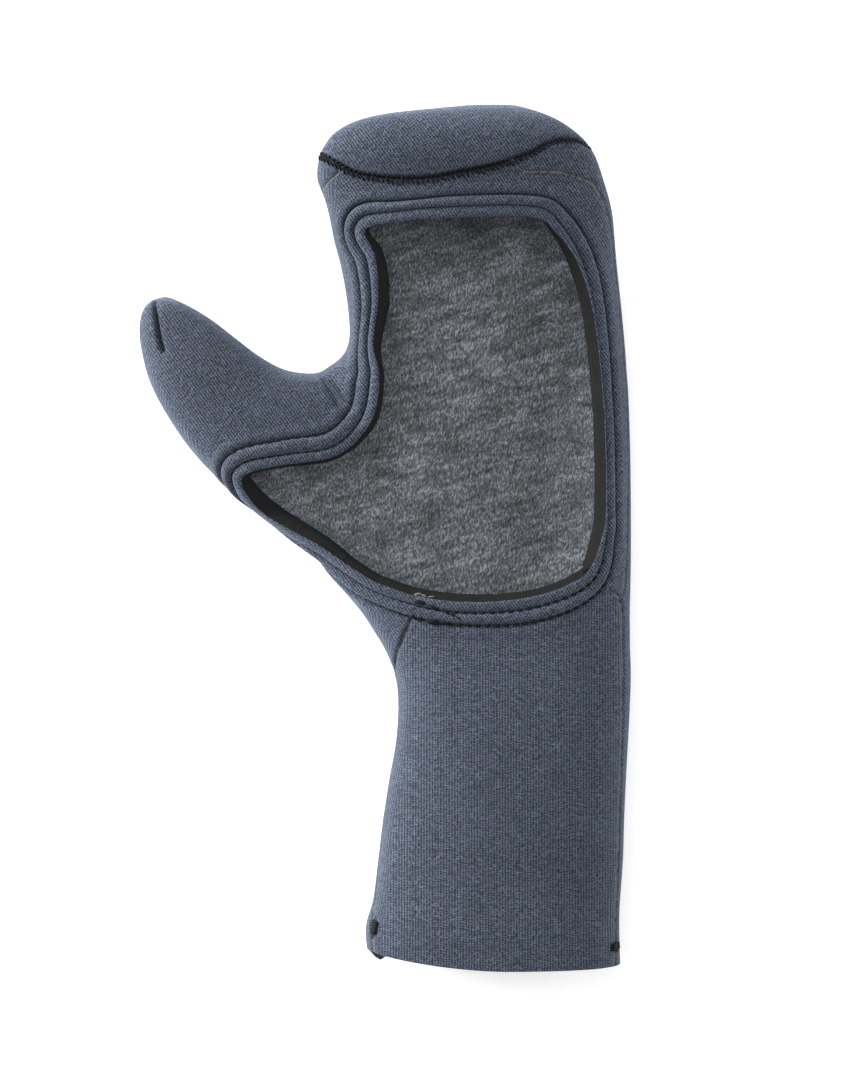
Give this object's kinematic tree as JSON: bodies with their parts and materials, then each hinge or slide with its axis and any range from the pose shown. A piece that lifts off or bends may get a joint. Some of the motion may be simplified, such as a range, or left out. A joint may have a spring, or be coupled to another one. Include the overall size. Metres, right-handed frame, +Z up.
{
  "type": "neoprene surf mitten, left hand",
  "caption": "Left-hand knit-faced neoprene mitten with a long cuff, a bent thumb, raised fingertips and a large hemmed opening in the palm, lying on its back.",
  "frame": {"origin": "bottom centre of the whole mitten's box, on the surface that it lies on", "axes": "+X across the hand to the little-finger side, +Y along the hand to the fingertips, +Z up out of the palm"},
  "size_m": [0.179, 0.309, 0.0529],
  "materials": {
    "knit": "fine slate-blue polyester jersey laminated on neoprene foam, matt",
    "plush": "heathered grey brushed plush lining",
    "thread": "black polyester stitching thread",
    "foam": "cut edge of black neoprene foam, matt"
  },
  "bodies": {
    "root": {"back_panel": "knit", "fingertip_cap": "knit", "palm_panel": "knit", "cuff_panel": "knit", "opening_hem": "knit", "back_lining": "plush", "bartack_left": "thread", "bartack_right": "thread"}
  },
  "joints": []
}
